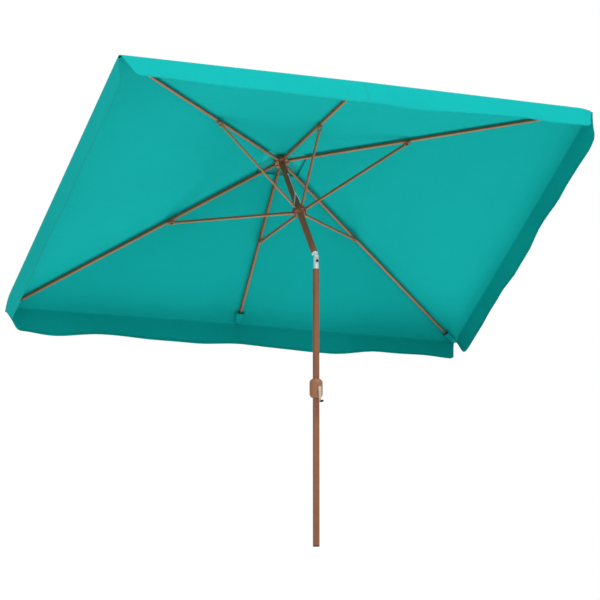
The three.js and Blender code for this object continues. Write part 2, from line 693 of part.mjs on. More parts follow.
mast.add(meshOf("vent_cap", "fabric", ventCap()));

// A flap of the valance: an upright strip along the fold line, cut back and rounded at its lower ends.
function flap(halfLength) {
  const top = halfLength - 3;
  const low = halfLength - FLAP_TRIM;
  const round = 32;
  const outline = new THREE.Shape();
  outline.moveTo(-top, 0);
  outline.lineTo(-low - 10, round - FLAP_DROP);
  outline.quadraticCurveTo(-low, -FLAP_DROP, round - low, -FLAP_DROP);
  outline.lineTo(low - round, -FLAP_DROP);
  outline.quadraticCurveTo(low, -FLAP_DROP, low + 10, round - FLAP_DROP);
  outline.lineTo(top, 0);
  outline.closePath();
  const strip = new THREE.ExtrudeGeometry(outline, { depth: FABRIC, bevelEnabled: false, curveSegments: 5 });
  return strip.rotateX(Math.PI / 2);
}

for (const [name, halfLength, reach, turn] of [
  ["front", HALF_LENGTH, HALF_WIDTH, 0],
  ["right", HALF_WIDTH, HALF_LENGTH, 90],
  ["back", HALF_LENGTH, HALF_WIDTH, 180],
  ["left", HALF_WIDTH, HALF_LENGTH, 270],
]) {
  const strip = flap(halfLength)
    .translate(0, -reach, HUB_HEIGHT - CORNER_DROP + FABRIC)
    .rotateZ(rad(turn));
  mast.add(meshOf("valance_" + name, "fabric", solid(strip)));
}

export default parasol;
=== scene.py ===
"""The visual model of a rectangular tilting market parasol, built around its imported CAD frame.

Lengths are metres. "Mast" coordinates have their origin on the tilt pin and Z up the tilted mast,
as the canopy is easiest to describe there; MAST turns them into the frame's own coordinates.
"""
import json
import math

import bpy
import numpy as np
from mathutils import Matrix, Vector


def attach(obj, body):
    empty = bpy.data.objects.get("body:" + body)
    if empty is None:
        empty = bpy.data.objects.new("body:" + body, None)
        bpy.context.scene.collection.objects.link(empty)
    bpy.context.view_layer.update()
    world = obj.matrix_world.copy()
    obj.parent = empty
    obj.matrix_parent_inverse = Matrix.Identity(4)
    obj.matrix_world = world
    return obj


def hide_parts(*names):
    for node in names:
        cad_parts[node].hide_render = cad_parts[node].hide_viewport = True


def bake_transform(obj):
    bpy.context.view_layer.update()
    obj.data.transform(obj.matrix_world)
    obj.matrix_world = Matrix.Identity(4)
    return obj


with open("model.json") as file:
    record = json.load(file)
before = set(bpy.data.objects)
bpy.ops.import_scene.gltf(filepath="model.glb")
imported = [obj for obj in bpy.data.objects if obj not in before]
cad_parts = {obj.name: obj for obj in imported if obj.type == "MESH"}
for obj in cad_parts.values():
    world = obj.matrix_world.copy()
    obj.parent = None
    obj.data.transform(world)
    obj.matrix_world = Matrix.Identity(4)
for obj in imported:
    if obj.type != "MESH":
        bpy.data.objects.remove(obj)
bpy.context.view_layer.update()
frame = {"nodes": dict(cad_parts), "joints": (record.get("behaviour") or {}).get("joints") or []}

NODES = frame["nodes"]
JOINTS = {joint["name"]: joint for joint in frame["joints"]}

# ---------------------------------------------------------------- the frame's driving places
TILT = JOINTS["tilt"]
MAST = (
    Matrix.Translation(TILT["pos_m"])
    @ Matrix.Rotation(-math.radians(max(TILT["range_deg"])), 4, "X")
)
FROM_MAST = MAST.inverted()


def in_mast(point):
    return FROM_MAST @ Vector(point)


SPOKES = ["front_left", "front_mid", "front_right", "back_right", "back_mid", "back_left"]
HINGES = {name: in_mast(JOINTS["rib_hinge_" + name]["pos_m"]) for name in SPOKES}
HUB_Z = HINGES["front_mid"].z
HINGE_R = abs(HINGES["front_mid"].y)
RUNNER_Z = in_mast(JOINTS["strut_hinge_front_mid"]["pos_m"]).z
HALF_LENGTH = 1.5  # of the canopy's fold line, along X
HALF_WIDTH = 1.0
CORNER_DROP = 0.379  # of the fold line's corners below the rib hinges
MID_DROP = 0.370  # of its long sides' middles
APEX_RISE = 0.025  # of the point where the panels would meet, above the rib hinges
VENT_SHARE = 0.0915  # of the way from the apex out to the fold, where the vent's opening ends
FLAP_DROP = 0.160


def is_corner(spoke):
    return not spoke.endswith("mid")


FOLD_POINTS = {
    name: Vector((
        math.copysign(HALF_LENGTH, HINGES[name].x) if is_corner(name) else 0.0,
        math.copysign(HALF_WIDTH, HINGES[name].y),
        HUB_Z - (CORNER_DROP if is_corner(name) else MID_DROP),
    ))
    for name in SPOKES
}
APEX = Vector((0, 0, HUB_Z + APEX_RISE))


def fold_middle(spoke, other):
    """The middle of a panel's fold line, between the ends of its two ribs."""
    return (FOLD_POINTS[spoke] + FOLD_POINTS[other]) / 2


# ---------------------------------------------------------------- camera
CAMERA_PLACE = (-8.435, -16.52, -1.648)
CAMERA_PITCH = 9.362  # degrees above the level
CAMERA_YAW = -26.766  # degrees from looking along Y
CAMERA_LENS = 197.4  # millimetres, on a 36 mm sensor


def add_camera():
    """A long lens below the canopy's level, looking up at its underside."""
    data = bpy.data.cameras.new("camera")
    data.sensor_width = 36
    data.lens = CAMERA_LENS
    data.clip_end = 100
    camera = bpy.data.objects.new("camera", data)
    camera.location = CAMERA_PLACE
    camera.rotation_euler = (math.radians(90 + CAMERA_PITCH), 0, math.radians(CAMERA_YAW))
    bpy.context.scene.collection.objects.link(camera)
    bpy.context.scene.camera = camera


add_camera()


# ---------------------------------------------------------------- mesh helpers
SHARP_ANGLE = 38  # degrees, past which an edge of cloth or cord isn't shaded smooth


def piece_from(name, points, faces, material, uvs):
    """A smooth-shaded object from points in mast coordinates, with a UV for each point."""
    mesh = bpy.data.meshes.new(name)
    world = [MAST @ Vector(p) for p in points]
    mesh.from_pydata(world, [], faces)
    mesh.validate()
    layer = mesh.uv_layers.new(name="cloth")
    for loop in mesh.loops:
        layer.data[loop.index].uv = uvs[loop.vertex_index]
    mesh.materials.append(material)
    mesh.shade_smooth()
    mesh.set_sharp_from_angle(angle=math.radians(SHARP_ANGLE))
    obj = bpy.data.objects.new(name, mesh)
    bpy.context.scene.collection.objects.link(obj)
    return obj


def grid_normals(grid):
    """Unit normals of a rows x columns x 3 array of points."""
    down = np.gradient(grid, axis=0)
    across = np.gradient(grid, axis=1)
    normals = np.cross(across, down)
    lengths = np.linalg.norm(normals, axis=2, keepdims=True)
    return normals / np.maximum(lengths, 1e-12)


def shell(grid, over, under):
    """Points and faces of a closed sheet over a grid, as far over and under it as given."""
    rows, columns = grid.shape[:2]
    normals = grid_normals(grid)
    top = grid + normals * np.asarray(over)[..., None]
    bottom = grid - normals * np.asarray(under)[..., None]
    points = np.concatenate([top.reshape(-1, 3), bottom.reshape(-1, 3)])
    count = rows * columns
    at = np.arange(count).reshape(rows, columns)
    faces = []
    for r in range(rows - 1):
        for c in range(columns - 1):
            a, b, d, e = at[r, c], at[r, c + 1], at[r + 1, c + 1], at[r + 1, c]
            faces.append((a, e, d, b))
            faces.append((a + count, b + count, d + count, e + count))
    rim = [at[0, c] for c in range(columns)]
    rim += [at[r, columns - 1] for r in range(1, rows)]
    rim += [at[rows - 1, c] for c in range(columns - 2, -1, -1)]
    rim += [at[r, 0] for r in range(rows - 2, 0, -1)]
    for i, a in enumerate(rim):
        b = rim[(i + 1) % len(rim)]
        faces.append((a, b, b + count, a + count))
    return points, [tuple(int(i) for i in face) for face in faces]


OFF_PATH = (0.31, 0.92, 0.17)  # a direction that no tube starts along


def tube(path, radius, sides):
    """Points and faces of a closed round tube along a path, its frame carried along without twist."""
    path = np.array(path, float)
    tangents = np.gradient(path, axis=0)
    tangents /= np.linalg.norm(tangents, axis=1, keepdims=True)
    side = np.cross(tangents[0], OFF_PATH)
    angles = np.arange(sides)[:, None] * 2 * math.pi / sides
    rings = []
    for point, tangent in zip(path, tangents):
        side = side - tangent * (side @ tangent)
        side /= np.linalg.norm(side)
        other = np.cross(tangent, side)
        rings.append(point + radius * (np.cos(angles) * side + np.sin(angles) * other))
    points = np.concatenate(rings)
    faces = []
    for r in range(len(path) - 1):
        for c in range(sides):
            a, b = r * sides + c, r * sides + (c + 1) % sides
            faces.append((a, b, b + sides, a + sides))
    faces.append(tuple(range(sides - 1, -1, -1)))
    last = (len(path) - 1) * sides
    faces.append(tuple(range(last, last + sides)))
    return points, faces


def smooth_path(points, steps):
    """A Catmull-Rom curve through the points, with that many steps between two of them."""
    points = [Vector(p) for p in points]
    ends = [2 * points[0] - points[1], *points, 2 * points[-1] - points[-2]]
    path = []
    for i in range(1, len(ends) - 2):
        a, b, c, d = ends[i - 1:i + 3]
        for k in range(steps):
            t = k / steps
            path.append(
                0.5 * ((2 * b) + (c - a) * t + (2 * a - 5 * b + 4 * c - d) * t ** 2
                       + (3 * b - a - 3 * c + d) * t ** 3)
            )
    path.append(points[-1])
    return path


# ---------------------------------------------------------------- materials
BLACK = (0, 0, 0, 1)
WHITE = (1, 1, 1, 1)


class Shader:
    """A material's node tree, with short ways to add and link its nodes."""

    def __init__(self, name):
        self.material = bpy.data.materials.new(name)
        self.material.use_nodes = True
        self.nodes = self.material.node_tree.nodes
        self.links = self.material.node_tree.links
        self.principled = self.nodes["Principled BSDF"]
        self.output = self.nodes["Material Output"]

    def node(self, kind, settings=None, **inputs):
        made = self.nodes.new("ShaderNode" + kind)
        for key, value in (settings or {}).items():
            setattr(made, key, value)
        for key, value in inputs.items():
            self.feed(made, key.replace("_", " "), value)
        return made

    def feed(self, node, socket, value):
        """Links an output, or sets a plain value, on a node's input by name or index."""
        target = node.inputs[int(socket) if socket.isdigit() else socket]
        if isinstance(value, bpy.types.NodeSocket):
            self.links.new(value, target)
        else:
            target.default_value = value

    def math(self, operation, a, b=0.0):
        made = self.nodes.new("ShaderNodeMath")
        made.operation = operation
        self.feed(made, "0", a)
        self.feed(made, "1", b)
        return made.outputs[0]

    def noise(self, coordinates, scale, detail=4.0, roughness=0.55):
        made = self.node("TexNoise", Scale=scale, Detail=detail, Roughness=roughness)
        self.links.new(coordinates, made.inputs["Vector"])
        return made.outputs["Fac"]

    def stretched(self, coordinates, scale):
        made = self.node("Mapping", Scale=scale)
        self.links.new(coordinates, made.inputs["Vector"])
        return made.outputs["Vector"]

    def ramp(self, value, stops):
        """A colour ramp from (position, colour) pairs."""
        made = self.nodes.new("ShaderNodeValToRGB")
        self.links.new(value, made.inputs["Fac"])
        elements = made.color_ramp.elements
        while len(elements) < len(stops):
            elements.new(0.5)
        for element, (position, colour) in zip(elements, stops):
            element.position = position
            element.color = colour
        return made.outputs["Color"]

    def split(self, vector):
        """The X, Y and Z of a vector."""
        made = self.node("SeparateXYZ")
        self.links.new(vector, made.inputs[0])
        return made.outputs

    def spread(self, value, low, high):
        """A value from 0 to 1, spread between two others."""
        made = self.node("MapRange")
        self.feed(made, "0", value)
        self.feed(made, "3", low)
        self.feed(made, "4", high)
        return made.outputs[0]

    def band(self, value, low, high, soft):
        """1 between two values and 0 outside them, with soft edges."""
        up = self.node("MapRange", {"interpolation_type": "SMOOTHSTEP"})
        down = self.node("MapRange", {"interpolation_type": "SMOOTHSTEP"})
        for made, start, end in ((up, low - soft, low + soft), (down, high + soft, high - soft)):
            self.feed(made, "0", value)
            self.feed(made, "1", start)
            self.feed(made, "2", end)
        return self.math("MULTIPLY", up.outputs[0], down.outputs[0])

    def mix(self, factor, a, b, blend="MIX"):
        made = self.node("Mix", {"data_type": "RGBA", "blend_type": blend})
        self.feed(made, "0", factor)
        self.feed(made, "6", a)
        self.feed(made, "7", b)
        return made.outputs[2]

    def bump(self, height, distance, strength=1.0, normal=None):
        made = self.node("Bump", Height=height, Distance=distance, Strength=strength)
        if normal is not None:
            self.links.new(normal, made.inputs["Normal"])
        return made.outputs["Normal"]

    def blend_surface(self, factor, first, second):
        """Makes the material's surface a mix of two shaders."""
        both = self.node("MixShader")
        self.feed(both, "0", factor)
        self.links.new(first.outputs[0], both.inputs[1])
        self.links.new(second.outputs[0], both.inputs[2])
        self.links.new(both.outputs[0], self.output.inputs["Surface"])

    def finish(self, **inputs):
        """Sets the principled shader's inputs."""
        for key, value in inputs.items():
            self.feed(self.principled, key.replace("_", " "), value)
        return self.material

    @property
    def object_coordinates(self):
        return self.node("TexCoord").outputs["Object"]


def rgb(red, green, blue):
    """A display colour, each channel 0 to 255, as the linear colour that shaders take."""
    def linear(value):
        share = value / 255
        return share / 12.92 if share < 0.0404 else ((share + 0.055) / 1.055) ** 2.4
    return (linear(red), linear(green), linear(blue), 1.0)


WEAVE = 0.0011  # from thread to thread
STITCH = 0.005  # from the start of one stitch to the next
STITCH_SHARE = 0.68  # of that, where the thread shows
THREAD_R = 0.0006
THREAD_SOFT = 0.0003  # over which a thread's edge fades
SEAM_STITCHES = (0.0035, 0.0085)  # two rows, from a rib seam
SEAM_DOUBLED = 0.0115  # from a rib seam
FOLD_STITCHES = 0.012  # below the fold
HEM = 0.014  # up from the flap's free edge
PUCKER_REACH = 0.03  # of the cloth's puckering from a rib seam
BEYOND = 1.0  # past either end of a UV coordinate that a band runs out to
TRANSLUCENCY = 0.16


def stitch_row(s, value, at, run):
    """A row of stitches where a UV coordinate has a value, dashed along the other coordinate."""
    row = s.band(value, at - THREAD_R, at + THREAD_R, THREAD_SOFT)
    dashes = s.math("LESS_THAN", s.math("FRACT", s.math("DIVIDE", run, STITCH)), STITCH_SHARE)
    return s.math("MULTIPLY", row, dashes)


def canopy_fabric(name, painted_underside_light):
    """Plain-woven teal polyester. The UV map is in metres: from the rib seam, and from the fold.

    The second argument is how much paler its faces turned down are painted: painted light,
    for light from above shining through the cloth.
    """
    s = Shader(name)
    uv = s.node("UVMap", {"uv_map": "cloth"}).outputs["UV"]
    across, along, _ = s.split(uv)
    place = s.object_coordinates

    warp = s.math("SINE", s.math("MULTIPLY", across, 2 * math.pi / WEAVE))
    weft = s.math("SINE", s.math("MULTIPLY", along, 2 * math.pi / WEAVE))
    weave = s.math("MULTIPLY", warp, weft)
    slub = s.noise(s.stretched(uv, (60.0, 900.0, 1.0)), 1.0, 3.0)
    slub_up = s.noise(s.stretched(uv, (900.0, 60.0, 1.0)), 1.0, 3.0)
    threads = s.math("ADD", slub, slub_up)

    fading = s.noise(place, 1.7, 3.0)
    mottling = s.noise(place, 38.0, 5.0)
    base = s.mix(fading, rgb(4, 172, 168), rgb(10, 186, 182))
    base = s.mix(s.math("MULTIPLY", mottling, 0.22), base, rgb(2, 156, 153))
    base = s.mix(s.math("MULTIPLY", threads, 0.08), base, rgb(24, 204, 198))

    thread = stitch_row(s, across, SEAM_STITCHES[0], along)
    for value, at, run in (
        (across, SEAM_STITCHES[1], along),
        (along, FLAP_DROP - HEM, across),
        (along, FOLD_STITCHES, across),
    ):
        thread = s.math("MAXIMUM", thread, stitch_row(s, value, at, run))
    # Painted shade: a band along each rib seam and above the flap's hem, where the cloth lies double, is
    # painted darker.
    seam = s.band(across, -BEYOND, SEAM_DOUBLED, 0.0015)
    hem = s.band(along, FLAP_DROP - HEM, BEYOND, 0.001)
    doubled = s.math("MAXIMUM", seam, hem)
    base = s.mix(s.math("MULTIPLY", doubled, 0.14), base, rgb(6, 118, 116))
    base = s.mix(s.math("MULTIPLY", thread, 0.7), base, rgb(60, 186, 180))
    # Painted light: the faces turned down are painted paler, by the second argument's share.
    facing = s.split(s.node("NewGeometry").outputs["Normal"])
    under = s.math("LESS_THAN", facing[2], 0.0)
    base = s.mix(s.math("MULTIPLY", under, painted_underside_light), base, rgb(60, 240, 234))

    pucker = s.noise(s.stretched(uv, (12.0, 110.0, 1.0)), 1.0, 2.0)
    near_seam = s.band(across, -BEYOND, PUCKER_REACH, 0.02)
    normal = s.bump(s.math("MULTIPLY", pucker, near_seam), 0.0016, 0.6)
    normal = s.bump(weave, 0.00008, 0.5, normal)
    relief = s.math("ADD", thread, s.math("MULTIPLY", threads, 0.12))
    normal = s.bump(relief, 0.0004, 0.7, normal)
    rough = s.spread(mottling, 0.70, 0.86)
    s.finish(Base_Color=base, Roughness=rough, Normal=normal, Specular_IOR_Level=0.08)
    through = s.node("BsdfTranslucent", Color=base, Normal=normal)
    s.blend_surface(TRANSLUCENCY, s.principled, through)
    return s.material


def painted_metal(name, light, dark, roughness, metallic):
    """Powder paint over metal: fine orange peel, metal flake and rubbed, dusty patches."""
    s = Shader(name)
    place = s.object_coordinates
    patches = s.noise(place, 7.0, 6.0)
    flake = s.noise(place, 2600.0, 1.0)
    base = s.mix(patches, dark, light)
    base = s.mix(s.math("MULTIPLY", flake, 0.08), base, rgb(200, 160, 130))
    rub = s.ramp(s.noise(s.stretched(place, (30.0, 30.0, 6.0)), 1.0, 8.0, 0.7),
                 [(0.60, BLACK), (0.74, WHITE)])
    base = s.mix(s.math("MULTIPLY", rub, 0.25), base, light)
    rough = s.spread(patches, roughness - 0.06, roughness + 0.1)
    normal = s.bump(s.noise(place, 900.0, 2.0), 0.00012, 0.5)
    return s.finish(Base_Color=base, Metallic=metallic, Roughness=rough, Normal=normal,
                    Specular_IOR_Level=0.3)


def moulded_plastic(name, light, dark, roughness):
    """Injection-moulded plastic with a spark-eroded grain, flow marks and scuffs."""
    s = Shader(name)
    place = s.object_coordinates
    tone = s.noise(place, 22.0, 5.0)
    base = s.mix(tone, dark, light)
    scuff = s.ramp(s.noise(s.stretched(place, (140.0, 90.0, 260.0)), 1.0, 4.0, 0.8),
                   [(0.62, BLACK), (0.70, WHITE)])
    base = s.mix(s.math("MULTIPLY", scuff, 0.12), base, rgb(200, 190, 180))
    rough = s.math("ADD", roughness, s.math("MULTIPLY", scuff, 0.08))
    normal = s.bump(s.noise(place, 1500.0, 3.0), 0.0001, 0.5)
    return s.finish(Base_Color=base, Roughness=rough, Normal=normal)


def bare_metal(name, light, dark, roughness, pitting, metallic=0.85):
    """Cast or drawn metal with a fine sand texture and slightly tarnished patches."""
    s = Shader(name)
    place = s.object_coordinates
    tone = s.noise(place, 60.0, 6.0)
    base = s.mix(tone, dark, light)
    rough = s.spread(tone, roughness + 0.1, roughness - 0.04)
    normal = s.bump(s.noise(place, 1100.0, 4.0), 0.00015, pitting)
    return s.finish(Base_Color=base, Metallic=metallic, Roughness=rough, Normal=normal)


STRANDS = 4
STRAND_RUN = 0.0035  # of cord, from one crossing of a strand to its next


def white_cord():
    """A braided polyester cord, its strands crossing on two slants."""
    s = Shader("white_cord")
    turn, run, _ = s.split(s.node("UVMap", {"uv_map": "cloth"}).outputs["UV"])
    around = s.math("MULTIPLY", turn, 2 * math.pi * STRANDS)
    along = s.math("MULTIPLY", run, 2 * math.pi / STRAND_RUN)
    one = s.math("SINE", s.math("ADD", around, along))
    two = s.math("SINE", s.math("SUBTRACT", around, along))
    braid = s.math("MAXIMUM", one, two)
    dirt = s.noise(s.object_coordinates, 90.0, 4.0)
    base = s.mix(s.math("MULTIPLY", dirt, 0.2), rgb(252, 251, 247), rgb(206, 202, 192))
    # Painted shade: the hollows between the strands are painted darker.
    painted_crevice_shade = s.math("LESS_THAN", braid, -0.1)
    base = s.mix(s.math("MULTIPLY", painted_crevice_shade, 0.25), base, rgb(170, 166, 158))
    return s.finish(Base_Color=base, Roughness=0.85, Normal=s.bump(braid, 0.0003, 0.8))


FINISHES = {
    "canopy_fabric": canopy_fabric("canopy_fabric", 0.0),
    # The cap's copy of the cloth, its underside painted paler: painted light.
    "cap_fabric_painted_light": canopy_fabric("cap_fabric_painted_light", 0.38),
    "bronze_paint": painted_metal("bronze_paint", rgb(154, 99, 72), rgb(128, 79, 56), 0.46, 0.1),
    # The ribs' and struts' version of the bronze paint, painted lighter: painted light, for the light they
    # catch from below.
    "rib_paint_painted_light": painted_metal("rib_paint_painted_light", rgb(164, 118, 82), rgb(132, 92, 62), 0.46, 0.1),
    "brown_plastic": moulded_plastic("brown_plastic", rgb(152, 98, 66), rgb(120, 74, 48), 0.5),
    "housing_plastic": moulded_plastic("housing_plastic", rgb(168, 114, 80), rgb(144, 92, 62), 0.5),
    "tip_plastic": moulded_plastic("tip_plastic", rgb(74, 44, 32), rgb(52, 30, 22), 0.5),
    "silver_casting": bare_metal("silver_casting", rgb(238, 240, 240), rgb(214, 218, 220), 0.36, 0.5, 0.35),
    "cream_plastic": moulded_plastic("cream_plastic", rgb(214, 194, 178), rgb(196, 172, 154), 0.5),
    "black_plastic": moulded_plastic("black_plastic", rgb(34, 34, 36), rgb(18, 18, 20), 0.42),
    "steel": bare_metal("steel", rgb(200, 202, 204), rgb(150, 152, 156), 0.32, 0.3),
    "white_cord": white_cord(),
}


# The finish of each CAD node, by the start of its name. The longest start that fits is the one used.
NODE_FINISHES = {
    "lower_pole": "bronze_paint",
    "mid_pole": "bronze_paint",
    "upper_pole": "bronze_paint",
    "rib_": "rib_paint_painted_light",
    "strut_": "rib_paint_painted_light",
    "rib_bracket_": "brown_plastic",
    "rib_tip_": "tip_plastic",
    "top_hub": "brown_plastic",
    "runner": "brown_plastic",
    "finial": "brown_plastic",
    "crank_housing_": "housing_plastic",
    "crank_arm": "cream_plastic",
    "crank_knob": "black_plastic",
    "foot_plug": "black_plastic",
    "pulley": "black_plastic",
    "tilt_button": "black_plastic",
    "tilt_": "silver_casting",
    "tilt_pin": "steel",
    "crank_spindle": "steel",
    "button_spring": "steel",
    "housing_screw_": "steel",
    "hub_pin_ring": "steel",
    "runner_pin_ring": "steel",
    "pulley_pin": "steel",
    "pole_joint_sleeve": "steel",
}


def finish_of(node):
    fitting = [start for start in NODE_FINISHES if node.startswith(start)]
    return NODE_FINISHES[max(fitting, key=len)]


# ---------------------------------------------------------------- CAD nodes that are kept
SMOOTH_ANGLE = 32  # degrees
EDGE_ROUND = 0.0005
WELD = 0.00001


def smoothing_nodes():
    """A geometry group that shades smooth up to an angle."""
    group = bpy.data.node_groups.new("smooth_by_angle", "GeometryNodeTree")
    group.interface.new_socket("Geometry", in_out="INPUT", socket_type="NodeSocketGeometry")
    group.interface.new_socket("Geometry", in_out="OUTPUT", socket_type="NodeSocketGeometry")
    nodes, links = group.nodes, group.links
    start = nodes.new("NodeGroupInput")
    end = nodes.new("NodeGroupOutput")
    angle = nodes.new("GeometryNodeInputMeshEdgeAngle")
    small = nodes.new("FunctionNodeCompare")
    small.operation = "LESS_THAN"
    small.inputs[1].default_value = math.radians(SMOOTH_ANGLE)
    faces = nodes.new("GeometryNodeSetShadeSmooth")
    edges = nodes.new("GeometryNodeSetShadeSmooth")
    edges.domain = "EDGE"
    links.new(angle.outputs["Unsigned Angle"], small.inputs[0])
    links.new(start.outputs[0], faces.inputs["Geometry"])
    links.new(faces.outputs[0], edges.inputs["Geometry"])
    links.new(small.outputs[0], edges.inputs["Shade Smooth"])
    links.new(edges.outputs[0], end.inputs[0])
    return group


SMOOTHING = smoothing_nodes()


def dress_cad_node(obj, finish):
    obj.data.materials.clear()
    obj.data.materials.append(FINISHES[finish])
    weld = obj.modifiers.new("weld", "WELD")
    weld.merge_threshold = WELD
    bevel = obj.modifiers.new("edges", "BEVEL")
    bevel.width = EDGE_ROUND
    bevel.segments = 2
    bevel.limit_method = "ANGLE"
    bevel.angle_limit = math.radians(SMOOTH_ANGLE)
    bevel.use_clamp_overlap = True
    smooth = obj.modifiers.new("smooth", "NODES")
    smooth.node_group = SMOOTHING


# ---------------------------------------------------------------- canopy cloth
SAG = 0.012  # of a panel's middle below its two ribs' plane
RIPPLE = 0.0016
FLUTTER = 0.0025  # of the flaps, on top of their waves
CLOTH = 0.0011
DOUBLED = 0.0007  # what a seam or hem adds to the cloth's thickness
DOUBLING_FADE = 0.0012  # over which that extra thickness ends
SEAM_WIDTH = 0.011
# These four are shares of the way out, on from VENT_SHARE: the vent's rolled edge, its hem, where
# the hem's extra thickness has ended, and the first of the evenly spaced rows.
VENT_EDGE = 0.0011
VENT_HEM = 0.012
VENT_HEM_FADE = 0.013
FIRST_ROW = 0.03
FOLD_R = 0.007
FOLD_DOUBLED = 0.6  # of a hem's extra thickness, along the fold
FLAP_GAP = 0.010  # of a flap's end from its corner, at the fold
FLAP_TRIM = 0.042  # what that gap grows by down to the free edge
FLAP_CORNER_R = 0.050
FLAP_HEM_FADE = 0.001  # over which the hem's extra thickness ends
PANEL_ROWS = 30  # between the vent's hem and the fold
PANEL_COLUMNS = 26
CROWDING = 2.2  # how strongly a half panel's columns crowd towards its rib's seam
# How far each flap's free edge stands out from its plane, from one end of its side to the other.
FLAP_WAVES = {
    "front": (0.003, 0.001, -0.008, -0.010, -0.013, -0.012, -0.027, -0.004, 0.009, 0.002, 0.010),
    "right": (-0.008, 0.010, 0.002, 0.002, -0.012, 0.006, 0.006, -0.010, -0.012, -0.010, -0.018),
    "back": (0.018, 0.044, 0.006, 0.020, 0.026, 0.008, 0.020, 0.030, -0.020, -0.024, -0.010),
    "left": (0.006, -0.003, 0.002, 0.005, 0.000, -0.004, 0.002, 0.005, 0.000, 0.003, 0.004),
}
# How far the cloth past each corner rib's end hangs down, and how far in from the corner it does.
CORNER_DROOP = {
    "front_left": (0.003, 0.075),
    "front_right": (0.032, 0.075),
    "back_right": (0.012, 0.075),
    "back_left": (0.044, 0.125),
}


def cross_steps(width, count):
    """Distances from a rib seam to the panel's middle, finer by the seam and its doubling."""
    spread = np.linspace(0, 1, count) ** CROWDING
    past_seam = SEAM_WIDTH + (width - SEAM_WIDTH) * spread
    return np.concatenate([[0, SEAM_WIDTH - DOUBLING_FADE], past_seam])


def sway(share, side, drop_share):
    """How far the flap stands out from its plane, at a share of the way along its side."""
    waves = FLAP_WAVES[side]
    place = min(max(share, 0.0), 1.0) * (len(waves) - 1)
    first = min(int(place), len(waves) - 2)
    t = place - first
    eased = t * t * (3 - 2 * t)
    edge = waves[first] * (1 - eased) + waves[first + 1] * eased
    flutter = FLUTTER * math.sin(41.0 * share + len(side)) * math.sin(17.0 * share)
    return (edge + flutter) * drop_share ** 1.3


def droop(point, corner):
    """How far the cloth hangs below the fold's straight line near a corner of the canopy."""
    depth, reach = CORNER_DROOP[corner]
    near = max(0.0, 1 - (point - FOLD_POINTS[corner]).length / reach)
    return depth * near ** 2


def side_of(spoke, other):
    """The side that two spokes' panel lies on, its outward direction, and whether it is a long one."""
    middle = fold_middle(spoke, other)
    along = middle - FOLD_POINTS[spoke]
    if abs(along.x) > abs(along.y):
        return ("front" if middle.y < 0 else "back"), Vector((0, middle.y, 0)).normalized(), True
    return ("left" if middle.x < 0 else "right"), Vector((middle.x, 0, 0)).normalized(), False


def half_panel(spoke, other):
    """Grid, UVs and cloth doubling from a rib's seam to the panel's middle line.

    Rows run from the vent opening out to the fold, round it and down the flap.
    """
    start, middle = FOLD_POINTS[spoke], fold_middle(spoke, other)
    along_fold = middle - start
    half_width = along_fold.length
    slant = (middle - APEX).length
    side, outward, on_long_side = side_of(spoke, other)
    corner = spoke if is_corner(spoke) else other

    def canopy_point(share, distance):
        """A point at a share of the way out, at a distance from the rib's seam along the fold."""
        t = min(distance / max(half_width * share, 1e-6), 1.0)
        point = APEX + (start - APEX).lerp(middle - APEX, t) * share
        hang = math.sin(math.pi * 0.5 * t) ** 1.5 * math.sin(math.pi * min(share, 1.0) ** 1.6)
        ripple = RIPPLE * math.sin(9 * t + 5 * share) * math.sin(math.pi * t) * share
        low = SAG * hang + ripple * math.sin(math.pi * share) + droop(point, corner)
        return point - Vector((0, 0, low))

    def flap_point(distance, drop_share):
        """A point of the flap, at a distance from its rib's seam along the fold."""
        t = distance / half_width
        gap = (FLAP_GAP + FLAP_TRIM * drop_share) * (1 - t) if is_corner(spoke) else 0.0
        base = start + along_fold * t + along_fold.normalized() * gap
        depth = FLAP_DROP
        if is_corner(spoke) and distance < FLAP_CORNER_R:
            inset = FLAP_CORNER_R - distance
            depth -= FLAP_CORNER_R - math.sqrt(FLAP_CORNER_R ** 2 - inset ** 2)
        along_side = base.x / (2 * HALF_LENGTH) if on_long_side else base.y / (2 * HALF_WIDTH)
        out = sway(along_side + 0.5, side, drop_share)
        low = depth * drop_share + droop(base, corner)
        return base - Vector((0, 0, low)) + outward * out

    grid, uvs, doubled = [], [], []

    def add_row(points, distances, down, doubling):
        grid.append([tuple(point) for point in points])
        uvs.append([(distance, down) for distance in distances])
        doubled.append(doubling)

    hem_end = VENT_SHARE + VENT_HEM
    fold_start = 1 - FOLD_R / slant
    shares = np.concatenate([
        [VENT_SHARE, VENT_SHARE + VENT_EDGE, hem_end, VENT_SHARE + VENT_HEM_FADE],
        np.linspace(VENT_SHARE + FIRST_ROW, fold_start, PANEL_ROWS),
    ])
    for share in shares:
        steps = cross_steps(half_width * share, PANEL_COLUMNS)
        doubling = [1.0 if share <= hem_end or d < SEAM_WIDTH else 0.0 for d in steps]
        add_row([canopy_point(share, d) for d in steps], steps, -(1 - share) * slant, doubling)

    steps = cross_steps(half_width, PANEL_COLUMNS)
    fold_end = FOLD_R / FLAP_DROP
    hem_start = 1 - HEM / FLAP_DROP
    inner = [canopy_point(fold_start, d * fold_start) for d in steps]
    crease = [canopy_point(1.0, d) for d in steps]
    outer = [flap_point(d, fold_end) for d in steps]
    for t in (0.3, 0.5, 0.7):
        rounded = [
            p * (1 - t) ** 2 + c * 2 * t * (1 - t) + q * t ** 2
            for p, c, q in zip(inner, crease, outer)
        ]
        add_row(rounded, steps, FOLD_R * (2 * t - 1), [FOLD_DOUBLED] * len(steps))

    drops = [fold_end, 0.12, 0.2, 0.3, 0.42, 0.54, 0.66, 0.78, 0.86,
             hem_start - FLAP_HEM_FADE / FLAP_DROP, hem_start, 0.96, 1.0]
    for drop in drops:
        doubling = 1.0 if drop == fold_end or drop >= hem_start else 0.0
        add_row([flap_point(d, drop) for d in steps], steps, drop * FLAP_DROP, [doubling] * len(steps))
    return np.array(grid), np.array(uvs), np.array(doubled)


MIDDLE_SINK = 0.6  # of the ribs' own sinking, at a panel's middle line


